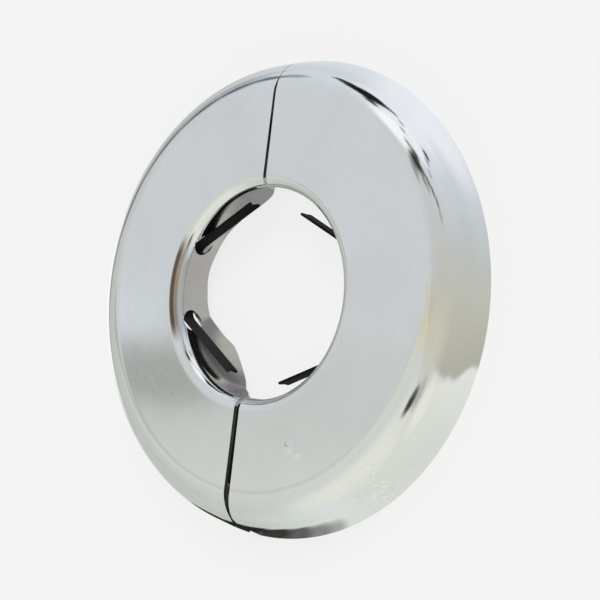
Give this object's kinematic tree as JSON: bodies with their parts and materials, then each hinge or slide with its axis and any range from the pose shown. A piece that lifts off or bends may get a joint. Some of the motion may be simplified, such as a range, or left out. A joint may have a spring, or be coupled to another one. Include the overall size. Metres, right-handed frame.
{
  "type": "pipe rosette",
  "caption": "Hinged split cover plate for a pipe, pressed from chromed sheet, with a rolled bore collar and black grip springs threaded through it.",
  "frame": {"origin": "on the bore's axis, in the plane of the rim that seats on the wall", "axes": "+Z along the bore, out of the wall towards the room; +Y from the hinge to the latch, along the seam; +X towards the right half seen from the room"},
  "size_m": [0.079, 0.079, 0.0082],
  "materials": {
    "chrome_plate": "polished plating on pressed steel",
    "black_spring_steel": "black oxide, dull",
    "bare_steel": "unplated, browned"
  },
  "bodies": {
    "left_half": {"left_shell": "chrome_plate", "left_grip_spring": "black_spring_steel", "left_hinge_leaf": "bare_steel", "hinge_rivet": "bare_steel", "latch_tongue": "bare_steel"},
    "right_half": {"right_shell": "chrome_plate", "right_grip_spring": "black_spring_steel", "right_hinge_leaf": "bare_steel"}
  },
  "joints": [
    {"name": "hinge_pivot", "type": "hinge", "parent": "left_half", "child": "right_half", "pos_m": [-0.00092, -0.0368, 0.0012], "axis": [0, 0, -1], "range_deg": [0, 40]}
  ]
}
